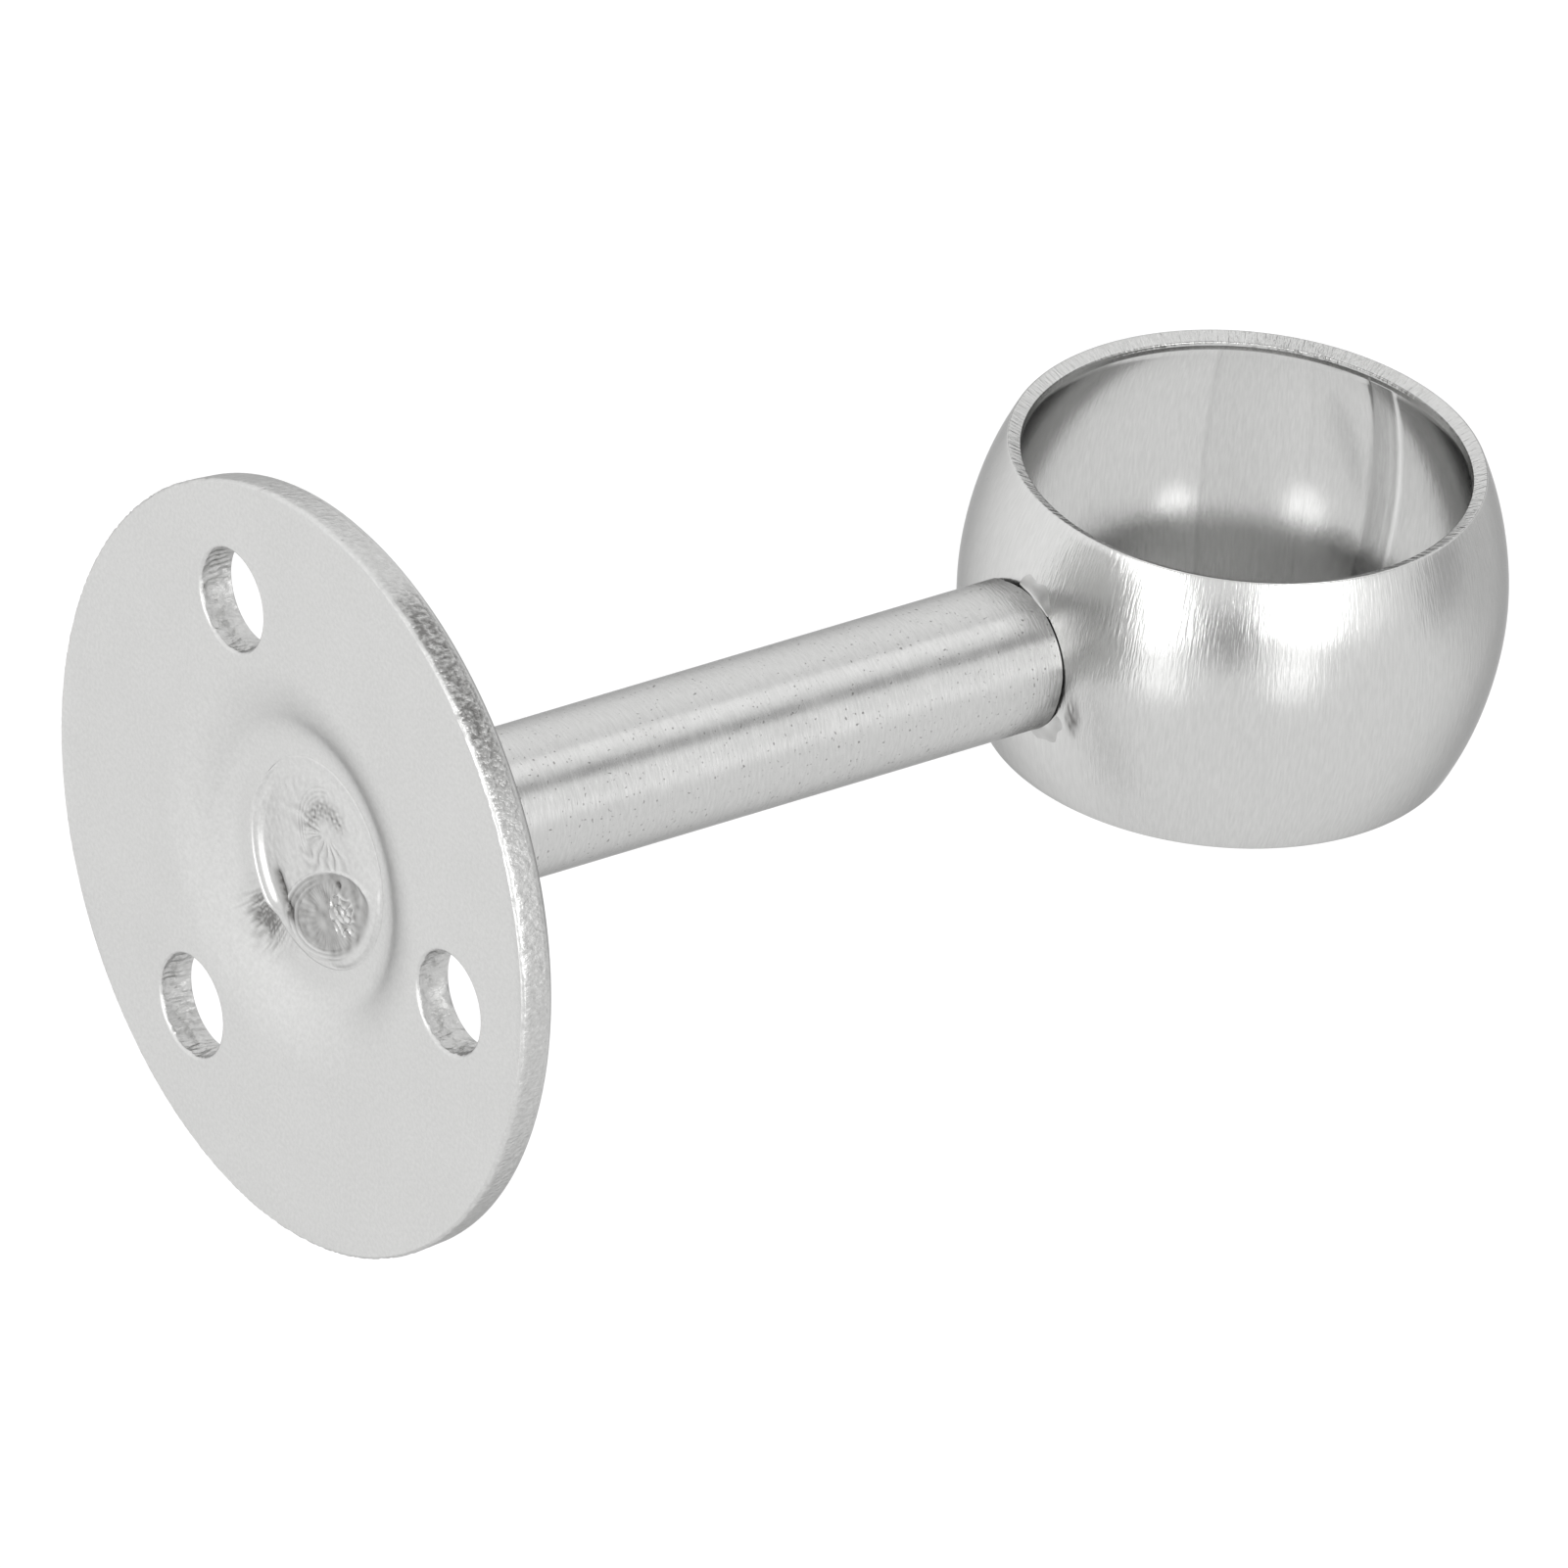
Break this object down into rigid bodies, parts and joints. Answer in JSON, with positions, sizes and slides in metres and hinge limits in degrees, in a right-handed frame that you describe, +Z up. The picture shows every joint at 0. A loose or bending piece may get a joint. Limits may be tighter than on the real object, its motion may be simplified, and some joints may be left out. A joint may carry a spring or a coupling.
{
  "type": "curtain pole bracket",
  "caption": "Welded stainless steel wall bracket: a round screw-on plate, a straight round stem and a barrel-shaped ring that a curtain pole passes through.",
  "frame": {"origin": "centre of the base plate's wall face", "axes": "-Y along the stem, out of the wall; +X along the curtain pole, the axis of the ring's bore; +Z up the wall, with one screw hole straight above the stem"},
  "size_m": [0.061, 0.1097, 0.061],
  "materials": {
    "plate_steel": "tumbled matt stainless steel sheet",
    "stem_steel": "stainless steel bar, finely brushed round its girth",
    "ring_steel": "stainless steel tube, brushed along the pole",
    "weld_steel": "bare weld metal with fine ripples"
  },
  "bodies": {
    "root": {"base_plate": "plate_steel", "stem": "stem_steel", "pole_ring": "ring_steel", "base_weld": "weld_steel", "ring_weld": "weld_steel"}
  },
  "joints": []
}
